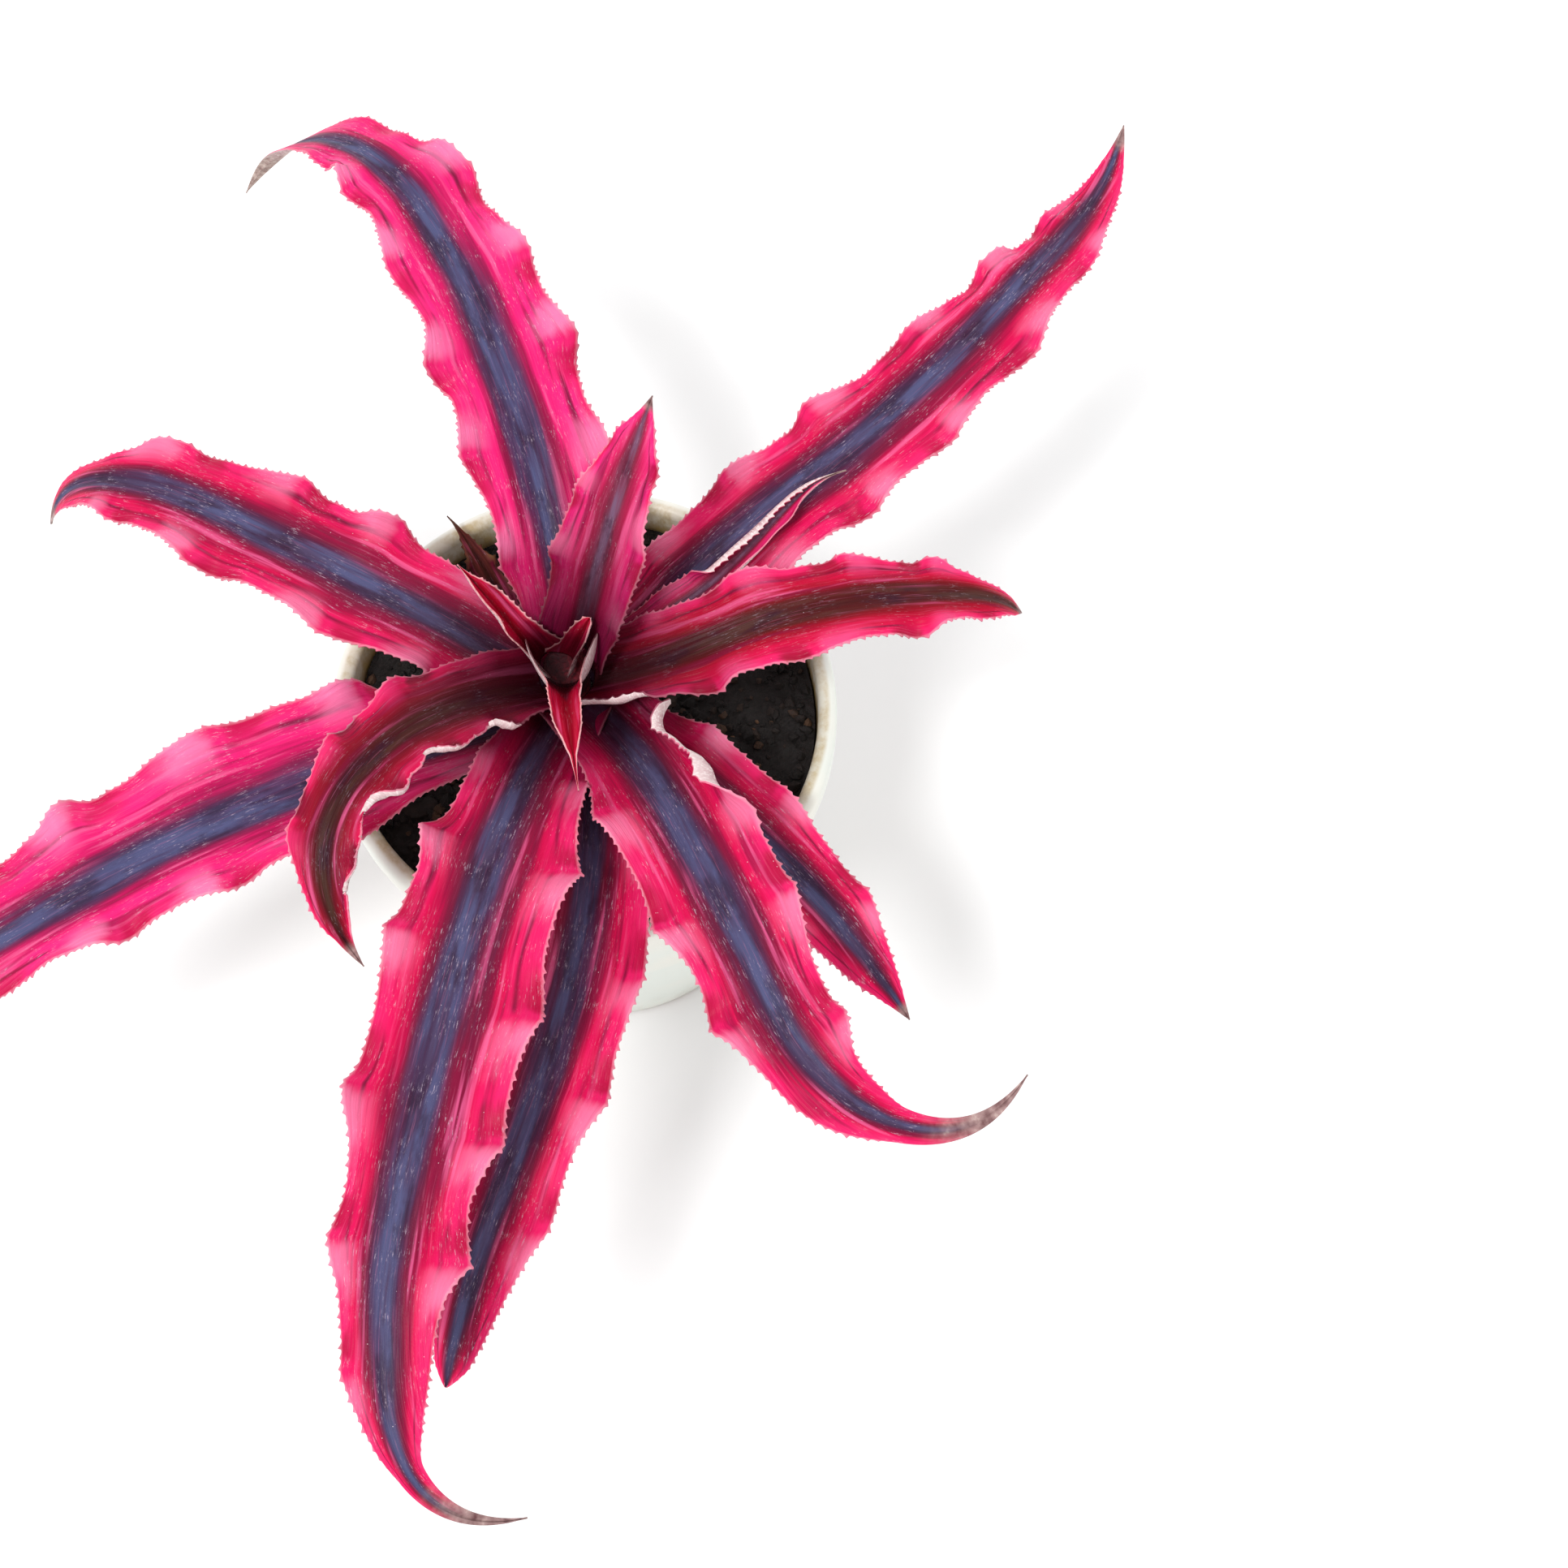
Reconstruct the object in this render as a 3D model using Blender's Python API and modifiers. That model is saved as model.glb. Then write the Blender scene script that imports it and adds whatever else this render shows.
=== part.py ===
"""Potted bromeliad: an earth-star rosette in a round nursery pot.

Metres, +Z up. The origin is the centre of the pot's flat underside.
"""
import math
from collections import namedtuple

import bpy
import numpy as np

MM = 0.001
MERGE = 0.00005
GAP = 0.3 * MM

# Pot: a tapered nursery pot with a rolled lip and drainage holes
POT_HEIGHT = 90.0 * MM
RIM_RADIUS = 52.5 * MM
LIP_WIDTH = 3.9 * MM
LIP_DEPTH = 9.0 * MM
LIP_STEPS = 6
LIP_SKIRT = 0.3 * MM
FOOT_BEVEL = 1.5 * MM
BASE_RADIUS = 37.5 * MM
WALL = 1.8 * MM
FLOOR = 2.2 * MM
BODY_TOP_RADIUS = RIM_RADIUS - 2.2 * MM
DRAIN_COUNT = 6
DRAIN_RADIUS = 4.0 * MM
DRAIN_RING = 25.0 * MM
TURN_STEPS = 64

# Soil: fills the pot to just below its lip, with a well for the stem
SOIL_TOP = POT_HEIGHT - 7.0 * MM
WELL_DEPTH = 16.0 * MM

# Stem: short, hidden between the leaf bases
STEM_X = -2.0 * MM
STEM_RADIUS = 4.5 * MM
STEM_TOP = POT_HEIGHT + 19.0 * MM

# Leaves: strips that leave the stem at their own height and follow a curved midrib
LEAF_THICKNESS = 1.2 * MM
LEAF_BASE_RADIUS = 5.5 * MM
LEAF_BASE_WIDTH = 7.0   # mm, where the blade leaves the stem
TAIL_WIDTH = 2.2        # mm, of a dried tip
LEAF_STEP = 5.0         # mm between two rows of the blade
LEAF_ACROSS = 6         # strips across the blade
WIDEST = 0.33           # share of the blade's length where it is widest
CHANNEL_BASE = 0.26     # rise of the margins at the base, in half widths
CHANNEL_DROP = 0.34     # how much of that rise is lost by the tip
RUFFLE_START = 0.25     # the margins are fully waved from here
RUFFLE_END = 0.8        # and fade from here
SIDE_PHASE = 1.9        # shift between the two margins' waves, in radians
LOBE = 0.45             # how far the waves swing outwards, against up and down
STATIONS = (0.0, 0.3, 0.6, 0.85, 1.0)

# height: of the base over the pot's rim, in mm; length, width, ruffle, wave: in mm
# lean: how much more of the width lies left of the midrib, seen from the stem
# tail: the share of the length that is a narrow dried tip
# heading: compass angle of the midrib at STATIONS, from +X towards +Y, in degrees
# pitch: its climb at STATIONS, in degrees; roll: the blade's tilt about it, in degrees
Leaf = namedtuple(
    "Leaf", "name height length width lean tail heading pitch roll ruffle wave phase")
FLAT = (0, 0, 0, 0, 0)
LEAVES = (
    Leaf("leaf_back_left", 0.0, 190, 29, -0.1, 0.10, (95, 110, 120, 150, 60),
         (40, 15, -5, -40, -125), (0, 5, 0, 0, 0), 3.0, 19, 0.3),
    Leaf("leaf_left", 7.0, 131, 27, 0.0, 0.04, (160, 155, 150, 165, 215),
         (35, 10, -5, -25, -80), FLAT, 2.4, 20, 1.2),
    Leaf("leaf_low_left", 0.5, 165, 33, -0.16, 0.05, (205, 205, 210, 210, 215),
         (20, 5, -5, -15, -20), FLAT, 2.4, 22, 2.0),
    Leaf("leaf_mid_left", 13.5, 87, 19, 0.0, 0.06, (210, 215, 240, 290, 320),
         (45, 20, -10, -35, -40), (0, 0, 10, 10, 0), 1.8, 15, 0.8),
    Leaf("leaf_front", 6.5, 183, 31, 0.15, 0.13, (-110, -100, -100, -80, 40),
         (30, 10, -5, -20, -30), FLAT, 3.0, 21, 1.4),
    Leaf("leaf_front_low", 0.5, 142, 25, 0.08, 0.0, (-75, -95, -110, -110, -105),
         (20, 5, -10, -25, -55), FLAT, 1.8, 20, 0.0),
    Leaf("leaf_front_right", 9.0, 142, 27, 0.0, 0.19, (-50, -65, -65, -5, 70),
         (30, 10, -10, -15, 20), FLAT, 2.6, 20, 2.6),
    Leaf("leaf_low_right", 4.5, 93, 22, 0.0, 0.05, (-40, -40, -45, -50, -50),
         (20, 0, -10, -25, -35), FLAT, 1.4, 20, 0.9),
    Leaf("leaf_right", 14.0, 97, 21, 0.0, 0.03, (-10, 20, 10, 10, 5),
         (40, 15, -5, -20, -70), FLAT, 1.8, 18, 1.8),
    Leaf("leaf_back_right", 3.5, 179, 25, -0.12, 0.05, (45, 35, 50, 55, 80),
         (30, 10, 0, -10, 5), (10, 10, 0, 0, 0), 2.6, 20, 0.5),
    Leaf("leaf_hidden_right", 10.0, 68, 11, 0.0, 0.10, (30, 25, 50, 50, 0),
         (40, 20, 5, 0, 20), FLAT, 0.7, 18, 0.0),
    Leaf("leaf_inner_back", 18.0, 60, 19, 0.0, 0.06, (60, 55, 55, 55, 60),
         (70, 65, 60, 50, 50), FLAT, 1.4, 16, 0.4),
    Leaf("leaf_inner_left", 17.0, 29, 10, 0.0, 0.05, (155, 150, 150, 150, 150),
         (60, 60, 55, 50, 50), FLAT, 0.7, 13, 0.0),
    Leaf("leaf_inner_front", 19.5, 38, 13, 0.0, 0.08, (-85, -80, -80, -80, -80),
         (60, 45, 25, 10, 0), FLAT, 0.7, 14, 0.9),
)
HEART_LEAF = Leaf("leaf_heart", 19.9, 11, 5, 0.0, 0.0, (40, 40, 45, 45, 50),
                  (70, 60, 55, 50, 45), FLAT, 0.2, 12, 0.0)
HEART_RADIUS = 1.6 * MM
YOUNG_HEIGHT = 10.5
WITHERED_LEAF = Leaf("withered_leaf", -4.6, 47, 9, 0.0, 0.1, (125, 120, 120, 125, 135),
                     (0, 5, 15, 25, 5), (0, 0, 5, 15, 20), 0.5, 15, 0.0)


def clear_scene():
    for obj in list(bpy.data.objects):
        bpy.data.objects.remove(obj, do_unlink=True)


def new_collection(name):
    collection = bpy.data.collections.new(name)
    bpy.context.scene.collection.children.link(collection)
    return collection


def material(name, colour, roughness):
    mat = bpy.data.materials.new(name)
    mat.use_nodes = True
    shader = mat.node_tree.nodes["Principled BSDF"]
    shader.inputs["Base Color"].default_value = (*colour, 1.0)
    shader.inputs["Roughness"].default_value = roughness
    shader.inputs["Metallic"].default_value = 0.0
    return mat


def link(obj, collection, mat=None):
    """Moves an object to one collection and gives it its material."""
    for old in list(obj.users_collection):
        old.objects.unlink(obj)
    collection.objects.link(obj)
    if mat is not None:
        obj.data.materials.clear()
        obj.data.materials.append(mat)
    return obj


def turned(name, profile, collection, mat):
    """A closed solid of revolution about +Z from a profile that runs down its outer side."""
    mesh = bpy.data.meshes.new(name)
    points = [(radius, 0.0, height) for radius, height in profile]
    mesh.from_pydata(points, [(i, i + 1) for i in range(len(points) - 1)], [])
    obj = bpy.data.objects.new(name, mesh)
    link(obj, collection, mat)
    screw = obj.modifiers.new("turn", "SCREW")
    screw.steps = TURN_STEPS
    screw.render_steps = TURN_STEPS
    screw.use_merge_vertices = True
    screw.merge_threshold = MERGE
    screw.use_smooth_shade = True
    return obj


def inner_radius(height):
    """The inside radius of the pot's tapered body at a height over its underside."""
    share = height / (POT_HEIGHT - LIP_DEPTH)
    return BASE_RADIUS - WALL + share * (BODY_TOP_RADIUS - BASE_RADIUS)


def pot_profile():
    """From the floor's inside centre, up the inner wall, over the lip, down to the underside."""
    lip_in = RIM_RADIUS - LIP_WIDTH
    lip_round = LIP_WIDTH / 2
    inside = [(0.0, FLOOR), (inner_radius(FLOOR), FLOOR)]
    inside.append((min(lip_in, inner_radius(POT_HEIGHT - LIP_DEPTH)), POT_HEIGHT - LIP_DEPTH))
    lip = []
    for step in range(LIP_STEPS + 1):
        angle = math.pi - math.pi * step / LIP_STEPS
        lip.append((lip_in + lip_round + lip_round * math.cos(angle),
                    POT_HEIGHT - lip_round + lip_round * math.sin(angle)))
    outside = [(RIM_RADIUS - LIP_SKIRT, POT_HEIGHT - LIP_DEPTH),
               (BODY_TOP_RADIUS, POT_HEIGHT - LIP_DEPTH),
               (BASE_RADIUS, FOOT_BEVEL),
               (BASE_RADIUS - FOOT_BEVEL, 0.0),
               (0.0, 0.0)]
    return inside + lip + outside


def make_pot(collection, cutters, mat):
    """The pot, with a ring of drainage holes round the solid middle of its floor."""
    pot = turned("pot", pot_profile(), collection, mat)
    for number in range(DRAIN_COUNT):
        angle = 2 * math.pi * number / DRAIN_COUNT
        place = (DRAIN_RING * math.cos(angle), DRAIN_RING * math.sin(angle), FLOOR / 2)
        bpy.ops.mesh.primitive_cylinder_add(
            vertices=20, radius=DRAIN_RADIUS, depth=4 * FLOOR, location=place)
        cutter = link(bpy.context.object, cutters)
        cutter.name = f"drain_cutter_{number + 1}"
        cutter.hide_render = True
        cutter.display_type = "WIRE"
        cut = pot.modifiers.new(f"drain_{number + 1}", "BOOLEAN")
        cut.operation = "DIFFERENCE"
        cut.solver = "EXACT"
        cut.object = cutter
    return pot


def make_soil(collection, mat):
    """Soil up to SOIL_TOP, a gap inside the wall, with a round well where the stem stands."""
    well = STEM_RADIUS + abs(STEM_X) + GAP
    bottom = FLOOR + GAP
    low_radius = inner_radius(bottom) - GAP
    high_radius = min(inner_radius(SOIL_TOP), RIM_RADIUS - LIP_WIDTH) - 2 * GAP
    profile = [(0.0, SOIL_TOP - WELL_DEPTH), (well, SOIL_TOP - WELL_DEPTH), (well, SOIL_TOP),
               (high_radius, SOIL_TOP), (low_radius, bottom), (0.0, bottom)]
    return turned("potting_soil", profile, collection, mat)


def make_stem(collection, mat):
    """A slightly tapered stub from the bottom of the soil's well to among the leaves."""
    bottom = SOIL_TOP - WELL_DEPTH + GAP
    bpy.ops.mesh.primitive_cone_add(
        vertices=32, radius1=STEM_RADIUS * 0.8, radius2=STEM_RADIUS, depth=STEM_TOP - bottom,
        location=(STEM_X, 0.0, (STEM_TOP + bottom) / 2))
    stem = bpy.context.object
    stem.name = "stem"
    link(stem, collection, mat)
    bevel = stem.modifiers.new("rounded_ends", "BEVEL")
    bevel.width = 0.8 * MM
    bevel.segments = 2
    bevel.limit_method = "ANGLE"
    return stem


def blade_half_width(leaf, along):
    """Half the blade's width: narrow at the stem, widest at WIDEST, then down to its tail."""
    blade = along / (1 - leaf.tail)
    rise = min(1.0, blade / WIDEST)
    rise = rise * rise * (3 - 2 * rise)
    fall = min(1.0, max(0.0, (blade - WIDEST) / (1 - WIDEST)))
    taper = (1 - fall ** 2.2) ** 0.7
    base = LEAF_BASE_WIDTH if leaf.width > LEAF_BASE_WIDTH else 0.7 * leaf.width
    tail = TAIL_WIDTH * (1.6 - along)
    return 0.5 * MM * max(tail, (base + (leaf.width - base) * rise) * taper)


def midrib(leaf, count, base_radius):
    """Share of the length, point, sideways and upward vectors at each row of the midrib."""
    heading_0 = math.radians(leaf.heading[0])
    point = np.array([STEM_X + base_radius * math.cos(heading_0),
                      base_radius * math.sin(heading_0), POT_HEIGHT + leaf.height * MM])
    frames = []
    for number in range(count + 1):
        along = number / count
        heading = math.radians(np.interp(along, STATIONS, leaf.heading))
        pitch = math.radians(np.interp(along, STATIONS, leaf.pitch))
        roll = math.radians(np.interp(along, STATIONS, leaf.roll))
        forward = np.array([math.cos(pitch) * math.cos(heading),
                            math.cos(pitch) * math.sin(heading), math.sin(pitch)])
        side = np.array([-math.sin(heading), math.cos(heading), 0.0])
        up = np.cross(forward, side)
        frames.append((along, point.copy(), math.cos(roll) * side + math.sin(roll) * up,
                       math.cos(roll) * up - math.sin(roll) * side))
        point = point + forward * leaf.length * MM / count
    return frames


def blade_point(leaf, frame, across):
    """A point of the blade: across runs from -1 to 1 over its width."""
    along, centre, side, up = frame
    hand = 1 if across > 0 else -1
    half = blade_half_width(leaf, along) * (1 + leaf.lean * hand)
    channel = (CHANNEL_BASE - CHANNEL_DROP * along) * half * abs(across) ** 1.7
    blade = along / (1 - leaf.tail)
    fade = max(0.0, (blade - RUFFLE_END) / (1 - RUFFLE_END))
    swell = min(1.0, along / RUFFLE_START) * max(0.0, 1 - fade)
    turn = 2 * math.pi * along * leaf.length / leaf.wave + leaf.phase
    turn += SIDE_PHASE if across < 0 else 0.0
    margin = leaf.ruffle * MM * swell * abs(across) ** 2.6
    outward = LOBE * margin * math.cos(turn) * hand
    return centre + side * (half * across + outward) + up * (channel + margin * math.sin(turn))


def make_leaf(leaf, collection, mat, base_radius=LEAF_BASE_RADIUS):
    """A grid laid along the midrib and given its thickness."""
    count = max(5, math.ceil(leaf.length / LEAF_STEP))
    bpy.ops.mesh.primitive_grid_add(x_subdivisions=count, y_subdivisions=LEAF_ACROSS, size=2)
    obj = bpy.context.object
    obj.name = leaf.name
    link(obj, collection, mat)
    frames = midrib(leaf, count, base_radius)
    for vertex in obj.data.vertices:
        row = round((vertex.co.x + 1) / 2 * count)
        vertex.co = blade_point(leaf, frames[row], vertex.co.y)
    solid = obj.modifiers.new("blade", "SOLIDIFY")
    solid.thickness = LEAF_THICKNESS if leaf.width > 12 else 0.7 * LEAF_THICKNESS
    solid.offset = 0.0
    obj.data.shade_smooth()
    return obj


def main():
    clear_scene()
    plant = new_collection("potted_bromeliad")
    cutters = new_collection("cutters")
    make_pot(plant, cutters, material("pot_plastic", (0.82, 0.80, 0.74), 0.5))
    make_soil(plant, material("soil", (0.03, 0.022, 0.018), 0.95))
    make_stem(plant, material("stem_tissue", (0.55, 0.42, 0.28), 0.7))
    outer = material("pink_leaf", (0.72, 0.05, 0.16), 0.55)
    inner = material("young_leaf", (0.42, 0.03, 0.08), 0.55)
    for leaf in LEAVES:
        young = leaf.height > YOUNG_HEIGHT
        make_leaf(leaf, plant, inner if young else outer)
    make_leaf(HEART_LEAF, plant, inner, HEART_RADIUS)
    make_leaf(WITHERED_LEAF, plant, material("dead_leaf", (0.16, 0.08, 0.04), 0.85))


main()
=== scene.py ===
"""The looks of a potted earth-star bromeliad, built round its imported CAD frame.

Every leaf is a ruffled, toothed blade laid close to the midrib of its CAD solid. The pot and the
soil are modelled again with finer surfaces. Lengths are in metres unless a docstring says mm.
"""
import logging
import math
import random
from dataclasses import dataclass
from enum import Enum
from typing import Callable, Sequence

import bmesh
import bpy
import numpy as np
from mathutils import Matrix, Vector, noise


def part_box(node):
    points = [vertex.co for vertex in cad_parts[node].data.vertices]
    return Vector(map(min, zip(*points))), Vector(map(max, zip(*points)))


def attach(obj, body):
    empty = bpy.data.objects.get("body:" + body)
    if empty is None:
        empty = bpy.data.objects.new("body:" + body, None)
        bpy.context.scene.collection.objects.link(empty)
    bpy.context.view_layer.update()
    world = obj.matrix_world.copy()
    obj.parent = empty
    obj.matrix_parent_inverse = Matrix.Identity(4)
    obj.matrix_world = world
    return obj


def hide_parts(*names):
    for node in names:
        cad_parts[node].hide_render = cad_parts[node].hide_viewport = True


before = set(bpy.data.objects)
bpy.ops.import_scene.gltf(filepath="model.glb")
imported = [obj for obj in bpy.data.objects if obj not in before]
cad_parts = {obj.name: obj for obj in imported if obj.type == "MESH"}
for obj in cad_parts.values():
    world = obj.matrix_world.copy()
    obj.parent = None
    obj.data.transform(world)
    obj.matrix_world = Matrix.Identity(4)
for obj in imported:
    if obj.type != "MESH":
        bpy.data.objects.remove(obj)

LOG = logging.getLogger("bromeliad")
MM = 0.001
BODY = "root"
Stops = Sequence[tuple[float, str]]
Socket = bpy.types.NodeSocket


# ---------------------------------------------------------------- colour and node helpers

def linear(code: str) -> tuple[float, float, float, float]:
    """Turns a screen colour into the shader's linear values.

    Args:
        code: Six hexadecimal digits, red first.

    Returns:
        Red, green, blue and an alpha of 1.
    """
    parts = [int(code[i:i + 2], 16) / 255 for i in (0, 2, 4)]
    lit = [c / 12.92 if c <= 0.04045 else ((c + 0.055) / 1.055) ** 2.4 for c in parts]
    return (lit[0], lit[1], lit[2], 1.0)


class Graph:
    """A material's node tree, with one short method for each kind of node used here."""

    def __init__(self, name: str) -> None:
        """Starts a material whose tree holds only its Principled shader."""
        self.material = bpy.data.materials.new(name)
        self.material.use_nodes = True
        self.tree = self.material.node_tree
        self.shader = self.tree.nodes["Principled BSDF"]

    def plug(self, socket: Socket, value: object) -> None:
        """Links a socket to an output, or sets it to a constant."""
        if isinstance(value, bpy.types.NodeSocket):
            self.tree.links.new(value, socket)
        else:
            socket.default_value = value

    def place(self) -> Socket:
        """The Object coordinates."""
        return self.tree.nodes.new("ShaderNodeTexCoord").outputs["Object"]

    def sheet(self, name: str) -> Socket:
        """The coordinates of a UV map."""
        node = self.tree.nodes.new("ShaderNodeUVMap")
        node.uv_map = name
        return node.outputs["UV"]

    def attribute(self, name: str) -> Socket:
        """The value of a mesh attribute."""
        node = self.tree.nodes.new("ShaderNodeAttribute")
        node.attribute_name = name
        return node.outputs["Fac"]

    def split(self, vector: Socket) -> tuple[Socket, Socket, Socket]:
        """The X, Y and Z of a vector."""
        node = self.tree.nodes.new("ShaderNodeSeparateXYZ")
        self.plug(node.inputs[0], vector)
        return node.outputs[0], node.outputs[1], node.outputs[2]

    def stretch(self, vector: Socket, scale: tuple[float, float, float]) -> Socket:
        """A vector scaled on each axis."""
        node = self.tree.nodes.new("ShaderNodeMapping")
        self.plug(node.inputs["Vector"], vector)
        node.inputs["Scale"].default_value = scale
        return node.outputs["Vector"]

    def noise(self, vector: Socket, scale: float, detail: float = 2.0,
              rough: float = 0.5) -> Socket:
        """A noise value, about 0.5 on average."""
        node = self.tree.nodes.new("ShaderNodeTexNoise")
        self.plug(node.inputs["Vector"], vector)
        node.inputs["Scale"].default_value = scale
        node.inputs["Detail"].default_value = detail
        node.inputs["Roughness"].default_value = rough
        return node.outputs["Fac"]

    def cells(self, vector: Socket, scale: float) -> Socket:
        """The distance to the nearest point of a Voronoi pattern."""
        node = self.tree.nodes.new("ShaderNodeTexVoronoi")
        self.plug(node.inputs["Vector"], vector)
        node.inputs["Scale"].default_value = scale
        return node.outputs["Distance"]

    def math(self, kind: str, first: object, second: object = 0.0, third: object = 0.0) -> Socket:
        """One Math node."""
        node = self.tree.nodes.new("ShaderNodeMath")
        node.operation = kind
        for socket, value in zip(node.inputs, (first, second, third)):
            self.plug(socket, value)
        return node.outputs[0]

    def span(self, value: Socket, low: float, high: float, start: float = 0.0,
             end: float = 1.0) -> Socket:
        """Maps low..high smoothly on to start..end, and holds it there outside."""
        node = self.tree.nodes.new("ShaderNodeMapRange")
        node.interpolation_type = "SMOOTHSTEP"
        for name, number in (("From Min", low), ("From Max", high), ("To Min", start),
                             ("To Max", end)):
            node.inputs[name].default_value = number
        self.plug(node.inputs["Value"], value)
        return node.outputs["Result"]

    def ramp(self, value: Socket, stops: Stops) -> Socket:
        """A colour ramp through stops of (place, colour)."""
        node = self.tree.nodes.new("ShaderNodeValToRGB")
        band = node.color_ramp
        while len(band.elements) < len(stops):
            band.elements.new(1.0)
        for element, (place, colour) in zip(band.elements, stops):
            element.position = place
            element.color = linear(colour)
        self.plug(node.inputs["Fac"], value)
        return node.outputs["Color"]

    def blend(self, share: object, first: object, second: object) -> Socket:
        """Mixes two colours. A colour is a socket or six hexadecimal digits."""
        node = self.tree.nodes.new("ShaderNodeMix")
        node.data_type = "RGBA"
        self.plug(node.inputs[0], share)
        for socket, colour in ((node.inputs[6], first), (node.inputs[7], second)):
            self.plug(socket, linear(colour) if isinstance(colour, str) else colour)
        return node.outputs[2]

    def bump(self, height: Socket, strength: float, depth: float,
             below: Socket | None = None) -> Socket:
        """A bump from a height, laid over another normal if one is given."""
        node = self.tree.nodes.new("ShaderNodeBump")
        node.inputs["Strength"].default_value = strength
        node.inputs["Distance"].default_value = depth
        self.plug(node.inputs["Height"], height)
        if below is not None:
            self.plug(node.inputs["Normal"], below)
        return node.outputs["Normal"]

    def finish(self, colour: Socket, rough: object, normal: Socket,
               **constants: float) -> bpy.types.Material:
        """Plugs the shader.

        Args:
            colour: The base colour.
            rough: The roughness, a socket or a number.
            normal: The bumped normal.
            **constants: Other shader inputs, with _ for a space in their names.

        Returns:
            The finished material.
        """
        self.plug(self.shader.inputs["Base Color"], colour)
        self.plug(self.shader.inputs["Roughness"], rough)
        self.plug(self.shader.inputs["Normal"], normal)
        for name, value in constants.items():
            self.shader.inputs[name.replace("_", " ")].default_value = value
        return self.material


# ---------------------------------------------------------------- finishes

class Age(Enum):
    """How old a leaf is, which sets its colours; one member is not an age but the young colours
    darkened as painted shade.
    """

    MATURE = "mature"
    ROSY = "rosy"
    YOUNG = "young"
    DUSKY = "young_shaded"
    INNER = "inner"
    HEART = "heart"
    DEAD = "dead"


@dataclass(frozen=True)
class BladeFinish:
    """The upper face of a leaf: bands of colour from the midrib out to the margin, with painted
    highlights and painted shade on the waved margins and painted shade at the stem end.
    """

    name: str
    bands: tuple[tuple[float, str], ...]
    # painted highlight colour for the crests of the margin waves and painted shade colour for
    # their creases, then how much of each is laid on
    crest_highlight: str = "F582AA"
    crease_shade: str = "A80634"
    crest_highlight_share: float = 0.75
    crease_shade_share: float = 0.85
    core: str = "56608A"
    core_share: float = 0.55
    scurf_share: float = 0.5
    rough: float = 0.4
    dry: str = "A88A88"
    tooth: str = "F3A0B4"
    # how far from the stem, in cm, the darker colour and painted shade of the stem end reach, and
    # their colour
    stem_end_shade_reach: float = 4.0
    dark: str = "26020C"
    shine: float = 0.1

    def build(self) -> bpy.types.Material:
        """Makes the material from the blade's UV map and attributes."""
        g = Graph(self.name)
        sheet = g.sheet("blade")
        across = g.attribute("across")
        wander = g.noise(g.stretch(sheet, (0.5, 0.35, 1)), 1.0, 2.0)
        strand = g.noise(g.stretch(sheet, (3.2, 0.2, 1)), 1.0, 4.0, 0.55)
        drift = g.math("ADD", across, g.math("MULTIPLY_ADD", wander, 0.2, -0.1))
        middle = g.math("MULTIPLY", g.math("ABSOLUTE", drift), 0.9)
        out = g.math("ADD", middle, g.math("MULTIPLY_ADD", strand, 0.5, -0.25))
        colour = g.ramp(out, self.bands)
        colour = self.streak(g, sheet, colour, middle)
        colour = self.wave(g, sheet, colour, middle)
        fibre = g.noise(g.stretch(sheet, (26.0, 0.8, 1)), 1.0, 3.0, 0.65)
        colour = g.blend(g.span(fibre, 0.55, 0.8, 0.0, 0.22), colour, "F487B0")
        colour = g.blend(g.span(fibre, 0.45, 0.2, 0.0, 0.3), colour, "4A0620")
        colour, worn = self.scurf(g, sheet, colour)
        colour = g.blend(g.span(g.math("ABSOLUTE", across), 0.965, 1.0, 0.0, 0.6),
                         colour, self.tooth)
        # the stem end is darker, partly its own colour and partly painted shade for the shadowed
        # centre of the rosette; the tip dries out
        stem_end_dark_and_shade = g.span(g.attribute("reach"), self.stem_end_shade_reach, 0.4, 0.0, 0.85)
        colour = g.blend(stem_end_dark_and_shade, colour, self.dark)
        mottle = g.ramp(g.noise(sheet, 5.0, 3.0), ((0.3, "6A4648"), (0.6, self.dry),
                                                   (0.75, "CDB9B0")))
        colour = g.blend(g.attribute("dry"), colour, mottle)
        ribs = g.noise(g.stretch(sheet, (16.0, 0.25, 1)), 1.0, 2.0)
        grain = g.noise(sheet, 30.0, 2.0)
        normal = g.bump(grain, 0.15, 0.0003, g.bump(strand, 0.35, 0.0012, g.bump(
            ribs, 0.35, 0.0008)))
        rough = g.math("ADD", g.math("MULTIPLY_ADD", fibre, 0.2, self.rough - 0.1),
                       g.math("MULTIPLY", worn, 0.2))
        return g.finish(colour, rough, normal, Specular_IOR_Level=self.shine)

    def streak(self, g: Graph, sheet: Socket, colour: Socket, middle: Socket) -> Socket:
        """Draws the lengthwise streaks: silvery blue on the midrib, maroon and rose beside it."""
        silver = g.noise(g.stretch(sheet, (3.0, 0.3, 1)), 1.0, 3.0, 0.6)
        near = g.span(middle, 0.06, 0.32, 1.0, 0.0)
        colour = g.blend(g.math("MULTIPLY", near, g.span(silver, 0.4, 0.6, 0.0, self.core_share)),
                         colour, self.core)
        murk = g.noise(g.stretch(sheet, (1.6, 0.5, 1)), 1.3, 4.0, 0.65)
        colour = g.blend(g.math("MULTIPLY", near, g.span(murk, 0.46, 0.66, 0.0, 0.65)),
                         colour, "2C1428")
        flank = g.math("MULTIPLY", g.span(middle, 0.16, 0.34), g.span(middle, 0.86, 0.6))
        stain = g.noise(g.stretch(sheet, (2.6, 0.14, 1)), 1.7, 3.0)
        colour = g.blend(g.math("MULTIPLY", flank, g.span(stain, 0.5, 0.64, 0.0, 0.7)),
                         colour, "7A0A34")
        rose = g.noise(g.stretch(sheet, (4.5, 0.22, 1)), 1.3, 3.0)
        colour = g.blend(g.math("MULTIPLY", flank, g.span(rose, 0.54, 0.68, 0.0, 0.6)),
                         colour, "F0649A")
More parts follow.
